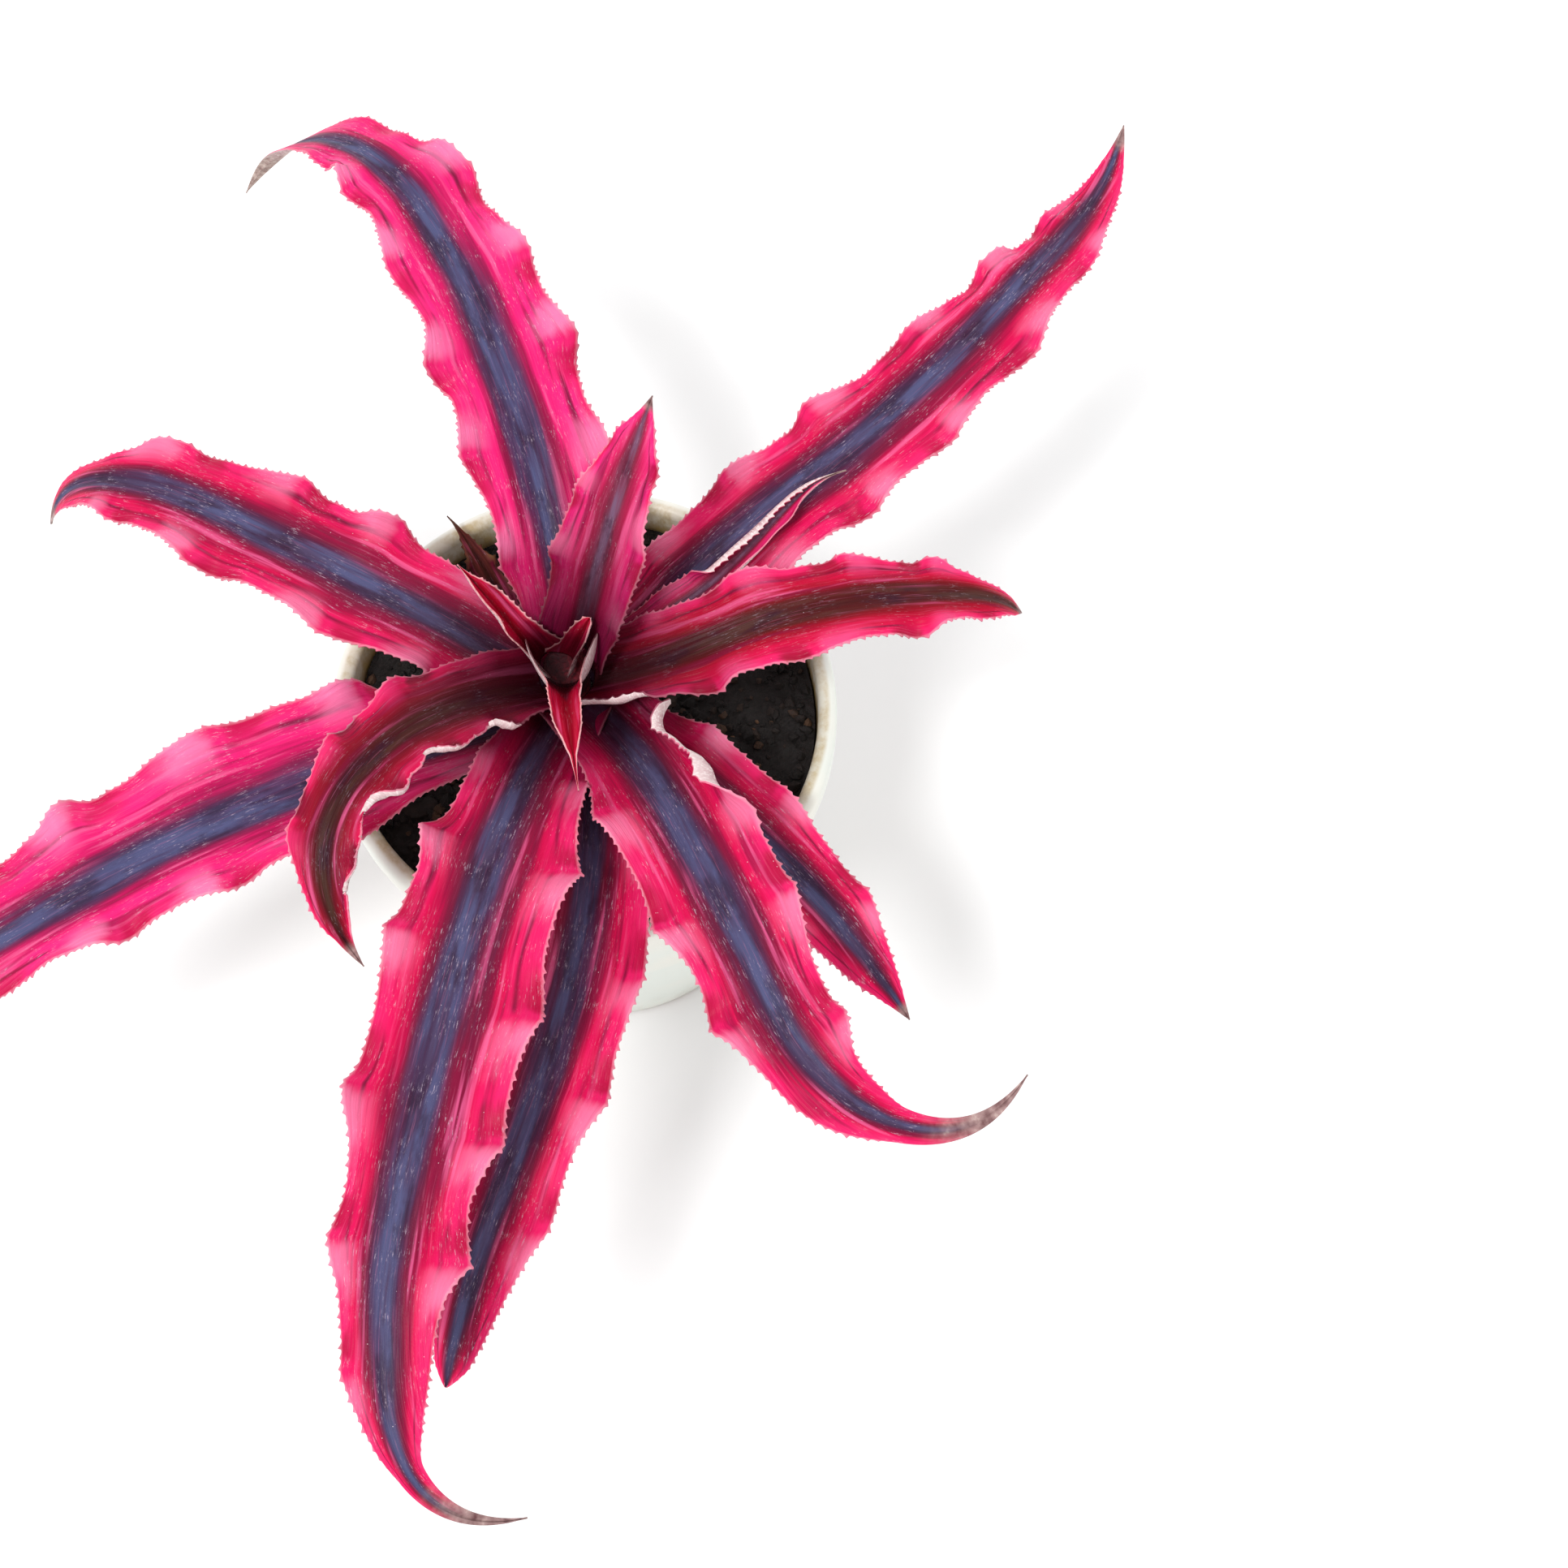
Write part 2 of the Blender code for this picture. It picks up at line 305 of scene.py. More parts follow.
        # one broken dark line runs beside each margin
        gap = g.math("ABSOLUTE", g.math("SUBTRACT", middle, 0.66))
        broken = g.span(g.noise(g.stretch(sheet, (0.5, 0.5, 1)), 1.0, 2.0), 0.44, 0.56)
        return g.blend(g.math("MULTIPLY", g.span(gap, 0.045, 0.0, 0.0, 0.75), broken),
                       colour, "5E0A2C")

    def wave(self, g: Graph, sheet: Socket, colour: Socket, middle: Socket) -> Socket:
        """Paints light and shade on the waved margins: blotched painted highlights on the crests
        and painted shade in the creases.
        """
        ragged = g.noise(g.stretch(sheet, (2.2, 0.55, 1)), 1.0, 4.0, 0.6)
        wave = g.math("ADD", g.attribute("wave"), g.math("MULTIPLY_ADD", ragged, 1.2, -0.6))
        pale = g.math("MULTIPLY", g.span(middle, 0.38, 0.84),
                      g.span(wave, 0.5, 1.0, 0.0, self.crest_highlight_share))
        deep = g.math("MULTIPLY", g.span(middle, 0.46, 0.9),
                      g.span(wave, 0.36, 0.04, 0.0, self.crease_shade_share))
        # painted highlight on the crests, then painted shade in the creases
        colour = g.blend(pale, colour, self.crest_highlight)
        colour = g.blend(deep, colour, self.crease_shade)
        rim = g.math("MULTIPLY", g.span(middle, 0.86, 0.98), g.span(
            g.noise(sheet, 0.8, 2.0), 0.64, 0.7, 0.0, 0.7))
        return g.blend(rim, colour, "A85A1C")

    def scurf(self, g: Graph, sheet: Socket, colour: Socket) -> tuple[Socket, Socket]:
        """Lays pale scratches and specks on the blade, and says where it is worn."""
        scratch = g.noise(g.stretch(sheet, (34.0, 4.0, 1)), 1.0, 4.0, 0.75)
        patch = g.noise(sheet, 1.3, 2.0)
        worn = g.math("MULTIPLY", g.span(scratch, 0.56, 0.68), g.span(patch, 0.42, 0.58))
        colour = g.blend(g.math("MULTIPLY", worn, self.scurf_share), colour, "D9C4D6")
        speck = g.span(g.cells(sheet, 8.0), 0.09, 0.04)
        thin = g.span(g.noise(sheet, 2.0, 2.0), 0.54, 0.66)
        colour = g.blend(g.math("MULTIPLY", g.math("MULTIPLY", speck, thin), 0.7),
                         colour, "F3DCE6")
        return colour, worn


@dataclass(frozen=True)
class UnderFinish:
    """The lower face of a leaf, silvery with fine scales in cross bands."""

    name: str = "leaf_underside"
    scales: str = "F3EBEA"
    between: str = "B4808A"

    def build(self) -> bpy.types.Material:
        """Makes the material from the blade's UV map."""
        g = Graph(self.name)
        sheet = g.sheet("blade")
        band = g.noise(g.stretch(sheet, (4.0, 16.0, 1)), 1.0, 3.0, 0.6)
        scale = g.cells(g.stretch(sheet, (1.0, 1.3, 1)), 26.0)
        value = g.math("ADD", g.math("MULTIPLY", band, 0.8), g.math("MULTIPLY", scale, -0.35))
        colour = g.ramp(value, ((0.1, self.between), (0.24, "C9A9AC"), (0.42, self.scales)))
        edge = g.span(g.math("ABSOLUTE", g.attribute("across")), 0.7, 0.98, 0.0, 0.55)
        colour = g.blend(edge, colour, "F7E6E4")
        mottle = g.ramp(g.noise(sheet, 6.0, 3.0), ((0.3, "6E5348"), (0.7, "C8B7AB")))
        colour = g.blend(g.math("MULTIPLY", g.attribute("dry"), 0.8), colour, mottle)
        normal = g.bump(value, 0.35, 0.0006)
        return g.finish(colour, 0.7, normal, Specular_IOR_Level=0.3)


@dataclass(frozen=True)
class PotFinish:
    """Pale moulded plastic, with a soil stain inside and dust round the foot."""

    name: str = "pot_plastic_moulded"
    body: str = "EEEDE2"
    cool: str = "E6ECE4"
    stain: str = "6B4A30"

    def build(self, soil_top: float, foot: float, slope: float) -> bpy.types.Material:
        """Makes the material.

        Args:
            soil_top: Height of the soil over the pot's underside.
            foot: Radius of the middle of the wall at the underside.
            slope: How fast that radius grows with height.

        Returns:
            The material.
        """
        g = Graph(self.name)
        place = g.place()
        x, y, z = g.split(place)
        radius = g.math("SQRT", g.math("ADD", g.math("MULTIPLY", x, x), g.math("MULTIPLY", y, y)))
        cloud = g.noise(place, 30.0, 3.0)
        colour = g.blend(g.span(cloud, 0.35, 0.65), self.body, self.cool)
        wall = g.math("SUBTRACT", radius, g.math("MULTIPLY_ADD", z, slope, foot))
        inside = g.span(wall, 0.0006, -0.0006)
        splash = g.noise(g.stretch(place, (1, 1, 0.5)), 190.0, 4.0, 0.7)
        reach = g.math("ADD", z, g.math("MULTIPLY", splash, -0.011))
        low = g.span(reach, soil_top - 0.001, soil_top - 0.0075)
        colour = g.blend(g.math("MULTIPLY", g.math("MULTIPLY", inside, low), 0.92),
                         colour, self.stain)
        film = g.math("MULTIPLY", inside, g.span(splash, 0.35, 0.7, 0.25, 0.8))
        colour = g.blend(film, colour, "B39A58")
        dust = g.math("MULTIPLY", g.span(z, 0.02, 0.0), g.span(splash, 0.42, 0.7))
        colour = g.blend(g.math("MULTIPLY", dust, 0.15), colour, "8F7355")
        crumbs = g.span(g.cells(place, 260.0), 0.16, 0.09)
        rare = g.span(g.noise(place, 60.0, 2.0), 0.6, 0.7)
        colour = g.blend(g.math("MULTIPLY", crumbs, rare), colour, "4A3424")
        skin = g.noise(place, 900.0, 2.0)
        rings = g.noise(g.stretch(place, (0.02, 0.02, 1.0)), 900.0, 1.0)
        normal = g.bump(rings, 0.06, 0.0003, g.bump(skin, 0.06, 0.0002))
        rough = g.math("MULTIPLY_ADD", cloud, 0.25, 0.3)
        return g.finish(colour, rough, normal, Specular_IOR_Level=0.5)


@dataclass(frozen=True)
class SoilFinish:
    """Moist, dark potting mix of peat, bark and a little grit."""

    name: str = "potting_mix"

    def build(self) -> bpy.types.Material:
        """Makes the material from place and from each crumb's own shade."""
        g = Graph(self.name)
        place = g.place()
        shade = g.attribute("shade")
        fine = g.noise(place, 700.0, 4.0, 0.7)
        tone = g.math("ADD", g.math("MULTIPLY", shade, 0.75), g.math("MULTIPLY", fine, 0.3))
        colour = g.ramp(tone, ((0.0, "090706"), (0.45, "150F0D"), (0.7, "2A1D16"),
                               (0.86, "4B3423"), (0.98, "8A6C4E")))
        normal = g.bump(fine, 0.6, 0.0008, g.bump(g.noise(place, 240.0, 3.0), 0.5, 0.0015))
        return g.finish(colour, g.math("MULTIPLY_ADD", fine, 0.3, 0.6), normal,
                        Specular_IOR_Level=0.35)


@dataclass(frozen=True)
class StemFinish:
    """Fibrous stem, ringed with old leaf scars, coloured near black: partly its own dark red and
    partly painted shade for the hollow heart of the rosette.
    """

    name: str = "stem_fibre_heart_shade"

    def build(self) -> bpy.types.Material:
        """Makes the material from place."""
        g = Graph(self.name)
        place = g.place()
        rings = g.noise(g.stretch(place, (0.15, 0.15, 1.0)), 700.0, 3.0)
        hairs = g.noise(g.stretch(place, (1.0, 1.0, 0.1)), 1200.0, 3.0)
        tone = g.math("ADD", g.math("MULTIPLY", rings, 0.6), g.math("MULTIPLY", hairs, 0.4))
        # near black to dark red: the stem's own colour, darkened as painted shade for the
        # rosette's heart
        colour = g.ramp(tone, ((0.3, "16020A"), (0.5, "3C0612"), (0.7, "7A1626")))
        return g.finish(colour, 0.7, g.bump(tone, 0.6, 0.001), Specular_IOR_Level=0.3)


MATURE_BANDS = ((0.0, "4C3E5C"), (0.1, "422E4C"), (0.2, "541E3E"), (0.3, "701636"),
                (0.4, "96083A"), (0.5, "CC0648"), (0.62, "E0145A"), (0.76, "E61E64"),
                (0.9, "E42468"), (1.0, "C40438"))
ROSY_BANDS = ((0.0, "4A4062"), (0.1, "402E4E"), (0.19, "5A2248"), (0.27, "8A1848"),
              (0.36, "C4125A"), (0.48, "EA1C70"), (0.62, "F2267A"), (0.78, "EC2472"),
              (0.92, "E42266"), (1.0, "C8063C"))
YOUNG_BANDS = ((0.0, "421214"), (0.2, "561012"), (0.34, "84081C"), (0.48, "AE062C"),
               (0.6, "CC0840"), (0.74, "E2185A"), (0.9, "EC2C70"), (1.0, "E8447C"))
# the young bands darkened as painted shade
YOUNG_SHADED_BANDS = ((0.0, "360A12"), (0.2, "4C0A14"), (0.34, "6C081C"), (0.5, "860822"),
               (0.66, "A40632"), (0.8, "CC0C4A"), (0.92, "E41A60"), (1.0, "E8447C"))
INNER_BANDS = ((0.0, "7A3C56"), (0.14, "78263F"), (0.28, "A01A44"), (0.4, "D0225E"),
               (0.56, "EA2E78"), (0.78, "E82478"), (0.94, "DC1052"), (1.0, "EE5C84"))
HEART_BANDS = ((0.0, "8A0418"), (0.3, "A8042A"), (0.6, "C80A3C"), (0.85, "D81844"),
               (0.95, "E2607A"), (1.0, "F3A8B0"))
DEAD_BANDS = ((0.0, "3A1410"), (0.3, "5A2420"), (0.6, "441A16"), (0.85, "6E3A30"),
              (1.0, "2A0E0A"))
BLADE_FINISHES = {
    Age.MATURE: BladeFinish("leaf_mature", MATURE_BANDS),
    Age.ROSY: BladeFinish("leaf_rosy", ROSY_BANDS, crest_highlight="F887B6", crease_shade="B80840"),
    Age.YOUNG: BladeFinish("leaf_young", YOUNG_BANDS, crest_highlight="F2568C", crease_shade="8E0420",
                           crest_highlight_share=0.6, core="5C4A40", core_share=0.35, scurf_share=0.25),
    Age.DUSKY: BladeFinish("leaf_young_shaded", YOUNG_SHADED_BANDS, crest_highlight="EE3A78", crease_shade="560414",
                           crest_highlight_share=0.55, core="54402E", core_share=0.35, scurf_share=0.25),
    Age.INNER: BladeFinish("leaf_inner", INNER_BANDS, crest_highlight="F682AA", crest_highlight_share=0.6,
                           core="76708E", core_share=0.5, scurf_share=0.3),
    Age.HEART: BladeFinish("leaf_heart_red", HEART_BANDS, crest_highlight="E43A60", crease_shade="8A0420",
                           crest_highlight_share=0.35, core="6E0414", core_share=0.5, scurf_share=0.2,
                           tooth="F6C6C6", stem_end_shade_reach=1.2),
    Age.DEAD: BladeFinish("leaf_withered", DEAD_BANDS, crest_highlight="7A5638", crease_shade="24120A",
                          core="4A2C1C", core_share=0.3, scurf_share=0.2, rough=0.75,
                          dry="5C4030", tooth="4A2C1C"),
}


# ---------------------------------------------------------------- modelling helpers

def start(adder: Callable[..., object], **settings: object) -> bpy.types.Object:
    """Adds a primitive with nothing else selected.

    Args:
        adder: The operator that adds it.
        **settings: The operator's settings.

    Returns:
        The new, active object.
    """
    bpy.ops.object.select_all(action="DESELECT")
    adder(**settings)
    return bpy.context.object


def apply_all(piece: bpy.types.Object) -> None:
    """Applies every modifier of a piece."""
    bpy.ops.object.select_all(action="DESELECT")
    bpy.context.view_layer.objects.active = piece
    piece.select_set(True)
    for modifier in list(piece.modifiers):
        bpy.ops.object.modifier_apply(modifier=modifier.name)


def settle(piece: bpy.types.Object, name: str, slot: str, *nodes: str) -> None:
    """Names a finished piece, fixes it to its body and hides the CAD nodes that it replaces.

    Args:
        piece: The finished piece, with its place in its mesh.
        name: The piece's name.
        slot: The record's material slot; not used.
        *nodes: The CAD nodes that it replaces.
    """
    piece.name = name
    piece.data.name = name
    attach(piece, BODY)
    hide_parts(*nodes)
    LOG.info("%s: %d faces", name, len(piece.data.polygons))


def attribute(mesh: bpy.types.Mesh, name: str, values: np.ndarray) -> None:
    """Stores one number for each vertex of a mesh."""
    layer = mesh.attributes.new(name, "FLOAT", "POINT")
    layer.data.foreach_set("value", values.astype(np.float32).ravel())


def smoothstep(values: np.ndarray) -> np.ndarray:
    """Eases 0..1 and holds the values outside it."""
    held = np.clip(values, 0.0, 1.0)
    return held * held * (3 - 2 * held)


# ---------------------------------------------------------------- leaves

STATIONS = (0.0, 0.3, 0.6, 0.85, 1.0)
FLAT = (0, 0, 0, 0, 0)


@dataclass(frozen=True)
class Curl:
    """A stretch of margin that rolls up, so that the underside shows.

    The side is 1 on the left of the midrib and -1 on the right, seen from the stem. First and
    last are shares of the length; the roll begins at a share of the half width.
    """

    side: int
    first: float
    last: float
    degrees: float
    begins: float = 0.0


@dataclass(frozen=True)
class Leaf:
    """One leaf's size and course, close to those of its CAD solid.

    Heights, lengths and widths are in mm; heading, pitch and roll are degrees at STATIONS.
    """

    node: str
    age: Age
    height: float
    length: float
    width: float
    lean: float
    tail: float
    heading: tuple[float, ...]
    pitch: tuple[float, ...]
    roll: tuple[float, ...] = FLAT
    ruffle: float = 2.0
    wave: float = 26.0
    phase: float = 0.0
    clasp: float = 15.0
    curls: tuple[Curl, ...] = ()
    tail_share: float = 0.15


LEAVES = (
    Leaf("leaf_back_left", Age.ROSY, 0.0, 190, 29, -0.1, 0.14, (95, 110, 120, 150, 190),
         (40, 15, -5, -40, -65), (0, 5, 0, 0, 130), 3.2, 25, 0.3, tail_share=0.24),
    Leaf("leaf_left", Age.MATURE, 7.0, 131, 27, 0.0, 0.06, (160, 155, 150, 165, 215),
         (35, 10, -5, -25, -80), FLAT, 2.6, 26, 1.2, 16.0),
    Leaf("leaf_low_left", Age.ROSY, 0.5, 165, 33, -0.16, 0.05, (205, 205, 210, 210, 215),
         (20, 5, -5, -15, -20), FLAT, 2.6, 27, 2.0),
    Leaf("leaf_mid_left", Age.DUSKY, 13.5, 87, 19, 0.0, 0.08, (210, 215, 240, 290, 320),
         (45, 20, -10, -35, -40), (0, 0, 10, 10, 0), 1.8, 17, 0.8, 15.0,
         (Curl(1, 0.1, 0.9, 100, 0.86),)),
    Leaf("leaf_front", Age.MATURE, 6.5, 183, 31, 0.15, 0.13, (-110, -100, -100, -80, 40),
         (30, 10, -5, -20, -30), FLAT, 3.0, 26, 1.4, 18.0),
    Leaf("leaf_front_low", Age.MATURE, 0.5, 142, 25, 0.08, 0.0, (-75, -95, -110, -110, -105),
         (20, 5, -10, -25, -55), FLAT, 2.0, 27, 0.0),
    Leaf("leaf_front_right", Age.MATURE, 9.0, 142, 27, 0.0, 0.19, (-50, -65, -65, -5, 70),
         (30, 10, -10, -15, 20), FLAT, 2.6, 25, 2.6, 18.0, (Curl(1, 0.1, 0.27, 170, 0.32),), 0.24),
    Leaf("leaf_low_right", Age.MATURE, 4.5, 93, 22, 0.0, 0.05, (-40, -40, -45, -50, -50),
         (20, 0, -10, -25, -35), FLAT, 1.6, 24, 0.9),
    Leaf("leaf_right", Age.YOUNG, 14.0, 97, 21, 0.0, 0.03, (-10, 20, 10, 10, 5),
         (40, 15, -5, -20, -70), FLAT, 2.0, 20, 1.8, 17.0, (Curl(-1, -0.1, 0.12, 120, 0.8),)),
    Leaf("leaf_back_right", Age.MATURE, 3.5, 179, 25, -0.12, 0.05, (45, 35, 50, 55, 80),
         (30, 10, 0, -10, 5), (10, 10, 0, 0, 0), 2.6, 25, 0.5),
    Leaf("leaf_hidden_right", Age.INNER, 10.0, 68, 9, 0.0, 0.10, (30, 25, 50, 50, 0),
         (40, 20, 5, 0, 20), FLAT, 0.6, 20, 0.0, 8.0, 
         (Curl(1, 0.4, 1.2, 175), Curl(-1, 0.4, 1.2, 70))),
    Leaf("leaf_inner_back", Age.INNER, 18.0, 60, 19, 0.0, 0.06, (60, 55, 55, 55, 60),
         (70, 65, 60, 50, 50), FLAT, 1.2, 18, 0.4, 15.0),
    Leaf("leaf_inner_left", Age.HEART, 17.0, 29, 6.5, 0.0, 0.12, (155, 150, 150, 150, 150),
         (60, 60, 55, 50, 50), FLAT, 0.4, 14, 0.0, 10.0,
         (Curl(1, -0.2, 1.2, 62), Curl(-1, -0.2, 1.2, 70))),
    Leaf("leaf_inner_front", Age.HEART, 19.5, 38, 8, 0.0, 0.2, (-85, -80, -80, -80, -80),
         (60, 45, 25, 10, 0), FLAT, 0.3, 15, 0.9, 18.0,
         (Curl(1, -0.2, 1.2, 70), Curl(-1, -0.2, 1.2, 70))),
    Leaf("leaf_heart", Age.HEART, 19.9, 11, 5, 0.0, 0.0, (40, 40, 45, 45, 50),
         (70, 60, 55, 50, 45), FLAT, 0.1, 12, 0.0, 8.0,
         (Curl(1, -0.2, 1.2, 50), Curl(-1, -0.2, 1.2, 50))),
    Leaf("withered_leaf", Age.DEAD, -4.6, 47, 9, 0.0, 0.1, (125, 120, 120, 125, 135),
         (0, 5, 15, 25, 5), (0, 0, 5, 15, 20), 1.4, 9, 0.0, 5.0),
)


@dataclass
class Blade:
    """Models one leaf as a grid laid along its midrib, with waved, toothed margins."""

    leaf: Leaf
    rim_height: float
    stem_x: float
    base_radius: float = 5.5
    heart_radius: float = 1.6
    side_phase: float = 1.9
    tooth_pitch: float = 1.65
    tooth_length: float = 0.6
    rows_per_tooth: int = 4
    thickness: float = 1.0
    lobe: float = 0.7
    widest: float = 0.33
    columns: tuple[float, ...] = (0.0, 0.1, 0.2, 0.29, 0.38, 0.48, 0.58, 0.68, 0.78, 0.87,
                                  0.94, 0.975, 1.0)

    def rows(self) -> int:
        """Rows of faces along the blade, in whole teeth."""
        return self.rows_per_tooth * max(4, round(self.leaf.length / self.tooth_pitch))

    def half_width(self, along: np.ndarray) -> np.ndarray:
        """Half the blade's width in mm: clasping at the stem, then full, then down to its tail."""
        leaf = self.leaf
        blade = along / (1 - leaf.tail)
        fall = np.clip((blade - self.widest) / (1 - self.widest), 0, 1)
        taper = (1 - fall ** 2.2) ** 0.7
        wide = leaf.clasp + (leaf.width - leaf.clasp) * smoothstep(blade / self.widest)
        cone = leaf.tail_share * leaf.width * np.clip(
            (1.003 - along) / max(leaf.tail, 0.03), 0, 1.3)
        return 0.5 * ((wide * taper) ** 3 + cone ** 3) ** (1 / 3)

    def turned(self, values: Sequence[float], along: np.ndarray) -> np.ndarray:
        """A course in radians, eased round its stations."""
        course = np.radians(np.interp(along, STATIONS, values))
        reach = max(1, len(along) // 14)
        for _ in range(2):
            padded = np.pad(course, reach, mode="edge")
            window = np.ones(2 * reach + 1) / (2 * reach + 1)
            course = np.convolve(padded, window, mode="valid")
        return course

    def midrib(self, along: np.ndarray) -> tuple[np.ndarray, np.ndarray, np.ndarray, np.ndarray]:
        """Points in mm and forward, sideways and upward vectors along the midrib."""
        leaf = self.leaf
        heading = self.turned(leaf.heading, along)
        pitch = self.turned(leaf.pitch, along)
        roll = self.turned(leaf.roll, along)[:, None]
        forward = np.stack([np.cos(pitch) * np.cos(heading), np.cos(pitch) * np.sin(heading),
                            np.sin(pitch)], 1)
        side = np.stack([-np.sin(heading), np.cos(heading), 0 * heading], 1)
        up = np.cross(forward, side)
        steps = (forward[1:] + forward[:-1]) / 2 * leaf.length / (len(along) - 1)
        first = math.radians(leaf.heading[0])
        radius = self.heart_radius if leaf.node == "leaf_heart" else self.base_radius
        base = np.array([self.stem_x + radius * math.cos(first), radius * math.sin(first),
                         self.rim_height + leaf.height])
        points = np.concatenate([[base], base + np.cumsum(steps, 0)])
        return (points, forward, np.cos(roll) * side + np.sin(roll) * up,
                np.cos(roll) * up - np.sin(roll) * side)

    def surface(self, along: np.ndarray, across: np.ndarray) -> dict[str, np.ndarray]:
        """Points of the blade and what its finish reads.

        Args:
            along: Shares of the length, one for each row.
            across: Shares of the half width, one for each column, left side positive.

        Returns:
            Arrays of rows by columns: "point" in mm, "half", "wave" and "dry".
        """
        leaf = self.leaf
        points, forward, side, up = (part[:, None, :] for part in self.midrib(along))
        s = along[:, None]
        u = across[None, :]
        hand = np.where(u > 0, 1.0, -1.0)
        out = np.abs(u)
        half = self.half_width(along)[:, None] * (1 + leaf.lean * hand)
        run = s * leaf.length
        turn = 2 * math.pi * run / leaf.wave + leaf.phase
        turn = turn + np.where(u > 0, 0.0, self.side_phase)
        turn = turn + 0.7 * np.sin(run / leaf.wave * 1.9 + leaf.phase * 3 + hand)
        swell = smoothstep(s / 0.22) * (1 - smoothstep((s / (1 - leaf.tail) - 0.78) / 0.22))
        uneven = 0.85 + 0.3 * np.sin(run / leaf.wave * 2.7 + 2 * leaf.phase - hand)
        strength = leaf.ruffle * swell * uneven
        lift = strength * out ** 2.3 * np.sin(turn + 0.6 * np.sin(turn))
        lift = lift + 0.16 * strength * out ** 3 * np.sin(2.7 * turn + 1.0)
        lobes = self.lobe * strength * out ** 3 * (0.75 - 1.5 * np.abs(np.sin(turn / 2)))
        cup = 0.26 - 0.34 * s + 0.35 * (1 - smoothstep(s * leaf.length / 16))
        fold = cup * half * out ** 1.7
        groove = -0.35 * np.exp(-(u / 0.13) ** 2) * smoothstep(s / 0.1)
        ridge = 0.25 * np.exp(-((out - 0.34) / 0.1) ** 2) * swell
        row = np.arange(len(along))[:, None]
        number = row // self.rows_per_tooth
        shape = np.array((0.0, 0.35, 1.0, 0.12))[row % self.rows_per_tooth]
        size = 0.75 + 0.35 * np.sin(number * 2.4 + leaf.phase * 5 + hand * 1.3)
        toothed = smoothstep(s / 0.12) * (1 - smoothstep((s / (1 - leaf.tail) - 0.93) / 0.07))
        tooth = np.where(out > 0.99, self.tooth_length * shape * size * toothed, 0.0)
        aside, above = self.rolled(s, out, half, hand, lobes + tooth, lift)
        above = above + fold + groove + ridge
        point = points + side * aside[..., None] + up * above[..., None]
        point = point + forward * 0.45 * tooth[..., None]
        # the wave's phase, 1 on the crests and 0 in the creases; the finish paints highlights and
        # shade on the margins from it
        wave = 0.5 + 0.5 * np.sin(turn + 0.6 * np.sin(turn))
        start_dry = 1 - 0.95 * leaf.tail
        dry = smoothstep((s - start_dry) / max(0.02, 0.5 * leaf.tail)) + 0 * u
        dry = dry * (0.0 if leaf.age is Age.HEART else 1.0)
        calm = (1 - swell) * 0.45 + swell * wave
        return {"point": point, "half": half + 0 * s, "wave": calm, "dry": dry}

    def rolled(self, s: np.ndarray, out: np.ndarray, half: np.ndarray, hand: np.ndarray,
               beyond: np.ndarray, lift: np.ndarray) -> tuple[np.ndarray, np.ndarray]:
        """Rolls the margins up where the leaf's curls say so.

        Args:
            s: Shares of the length.
            out: Shares of the half width, without sign.
            half: The half width in mm.
            hand: 1 on the left, -1 on the right.
            beyond: How far lobes and teeth stand out past the margin, in mm.
            lift: The waves' height in mm.

        Returns:
            Distances to the left of the midrib and above it, in mm.
        """
        ease = 0.07
        bend = np.full(np.broadcast_shapes(s.shape, out.shape), 1e-4)
        begins = np.zeros_like(bend)
        for curl in self.leaf.curls:
            rise = smoothstep((s - curl.first) / ease) * (1 - smoothstep((s - curl.last) / ease))
            mine = hand == curl.side
            bend = np.where(mine, np.maximum(bend, math.radians(curl.degrees) * rise), bend)
            begins = np.where(mine, curl.begins, begins)
        past = np.maximum(out - begins, 0.0) * half
        curve = bend / ((1 - begins) * half)
        angle = curve * past
        aside = np.minimum(out, begins) * half + np.sin(angle) / curve
        above = (1 - np.cos(angle)) / curve
        aside = aside + beyond * np.cos(angle) - lift * np.sin(angle)
        above = above + beyond * np.sin(angle) + lift * np.cos(angle)
        return hand * aside, above

    def build(self, finishes: dict[Age, bpy.types.Material],
              under: bpy.types.Material) -> bpy.types.Object:
        """Models the leaf and gives it its two faces.

        Args:
            finishes: The upper finishes by age.
            under: The finish of the lower face.

        Returns:
            The finished piece.
        """
        leaf = self.leaf
        rows = self.rows()
        across = np.array([-c for c in self.columns[:0:-1]] + list(self.columns))
        piece = start(bpy.ops.mesh.primitive_grid_add, x_subdivisions=rows,
                      y_subdivisions=len(across) - 1, size=2)
        mesh = piece.data
        flat = np.zeros(len(mesh.vertices) * 3, np.float32)
        mesh.vertices.foreach_get("co", flat)
        flat = flat.reshape(-1, 3)
        row = np.rint((flat[:, 0] + 1) / 2 * rows).astype(int)
        column = np.rint((flat[:, 1] + 1) / 2 * (len(across) - 1)).astype(int)
        along = np.linspace(0.0, 1.0, rows + 1)
        made = self.surface(along, across)
        shaped = made["point"][row, column] * MM
        mesh.vertices.foreach_set("co", shaped.astype(np.float32).ravel())
        attribute(mesh, "across", across[column])
        attribute(mesh, "reach", along[row] * leaf.length / 10)
        attribute(mesh, "wave", made["wave"][row, column])
        attribute(mesh, "dry", made["dry"][row, column])
        self.lay_sheet(mesh, across[column] * made["half"][row, column] / 10,
                       along[row] * leaf.length / 10 + leaf.phase * 7)
        thin = piece.vertex_groups.new(name="thin")
        tip = max(leaf.tail, 0.05)
        share = (1 - 0.62 * across[column] ** 2) * (
            1 - 0.85 * smoothstep((along[row] - 1 + 1.3 * tip) / tip))
        for number, kept in enumerate(share):
            thin.add([number], float(kept), "REPLACE")
        mesh.materials.clear()
        mesh.materials.append(finishes[leaf.age])
